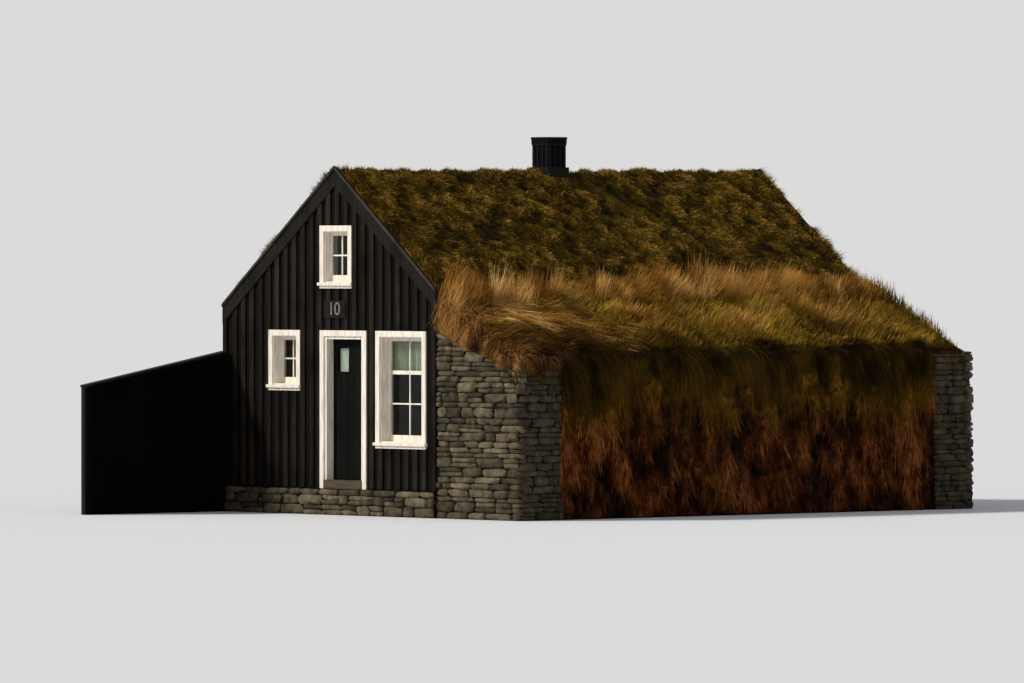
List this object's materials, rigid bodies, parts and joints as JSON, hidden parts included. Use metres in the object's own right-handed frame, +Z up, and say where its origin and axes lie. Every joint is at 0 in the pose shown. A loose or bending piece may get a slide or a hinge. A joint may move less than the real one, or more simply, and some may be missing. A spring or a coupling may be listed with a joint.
{
  "type": "turf house",
  "caption": "Gabled timber-fronted house with turf roof, boarded chimney, white-cased windows, inward-opening door, grassed stone bank on one side and a timber screen.",
  "frame": {"origin": "under the gable's peak, on the plane of the front boards, at the lowest ground that the walls reach", "axes": "+X to the right along the gable front, +Y back into the house, +Z up"},
  "size_m": [6.82, 12.33, 5.78],
  "materials": {
    "stone": "dry-laid flat stones with dark joints",
    "turf": "grassed turf, moss green to straw",
    "earth": "stacked turf blocks with hanging roots",
    "dark_boards": "black tarred upright boards, weathered",
    "white_trim": "off-white paint, weathered",
    "plain_timber": "bare sawn boards",
    "glass": "clear window glass",
    "iron": "black iron"
  },
  "bodies": {
    "house": {"bank_core": "earth", "bank_front_stone": "stone", "bank_rear_stone": "stone", "bank_side_turf": "earth", "bank_top_turf": "turf", "barge_boards": "dark_boards", "chimney_cap": "dark_boards", "chimney_kerb": "dark_boards", "chimney_stack": "dark_boards", "chimney_trimmers": "plain_timber", "door_casing": "white_trim", "door_frame": "white_trim", "door_pintles": "iron", "door_threshold": "plain_timber", "front_gable_wall": "dark_boards", "front_plinth": "stone", "front_wall_left": "dark_boards", "front_wall_right": "dark_boards", "front_window_casings": "white_trim", "front_window_frames": "white_trim", "front_window_glass": "glass", "ground_floor": "plain_timber", "loft_floor": "plain_timber", "loft_joists": "plain_timber", "loft_rails": "plain_timber", "party_wall": "dark_boards", "rafters": "plain_timber", "rear_gable_wall": "dark_boards", "rear_plinth": "stone", "rear_wall": "dark_boards", "rear_window_casings": "white_trim", "rear_window_frames": "white_trim", "rear_window_glass": "glass", "ridge_board": "plain_timber", "roof_deck": "plain_timber", "roof_turf_left": "turf", "roof_turf_right": "turf", "screen_boards": "dark_boards", "screen_posts": "dark_boards", "screen_rails": "dark_boards", "side_plinths": "stone", "side_wall": "dark_boards", "valley_kerb": "dark_boards"},
    "door": {"door_glass": "glass", "door_handle": "iron", "door_leaf": "dark_boards", "door_straps": "iron"}
  },
  "joints": [
    {"name": "door_hinge", "type": "hinge", "parent": "house", "child": "door", "pos_m": [-0.2285, 0.2, 1.6], "axis": [0, 0, 1], "range_deg": [0, 95]}
  ]
}
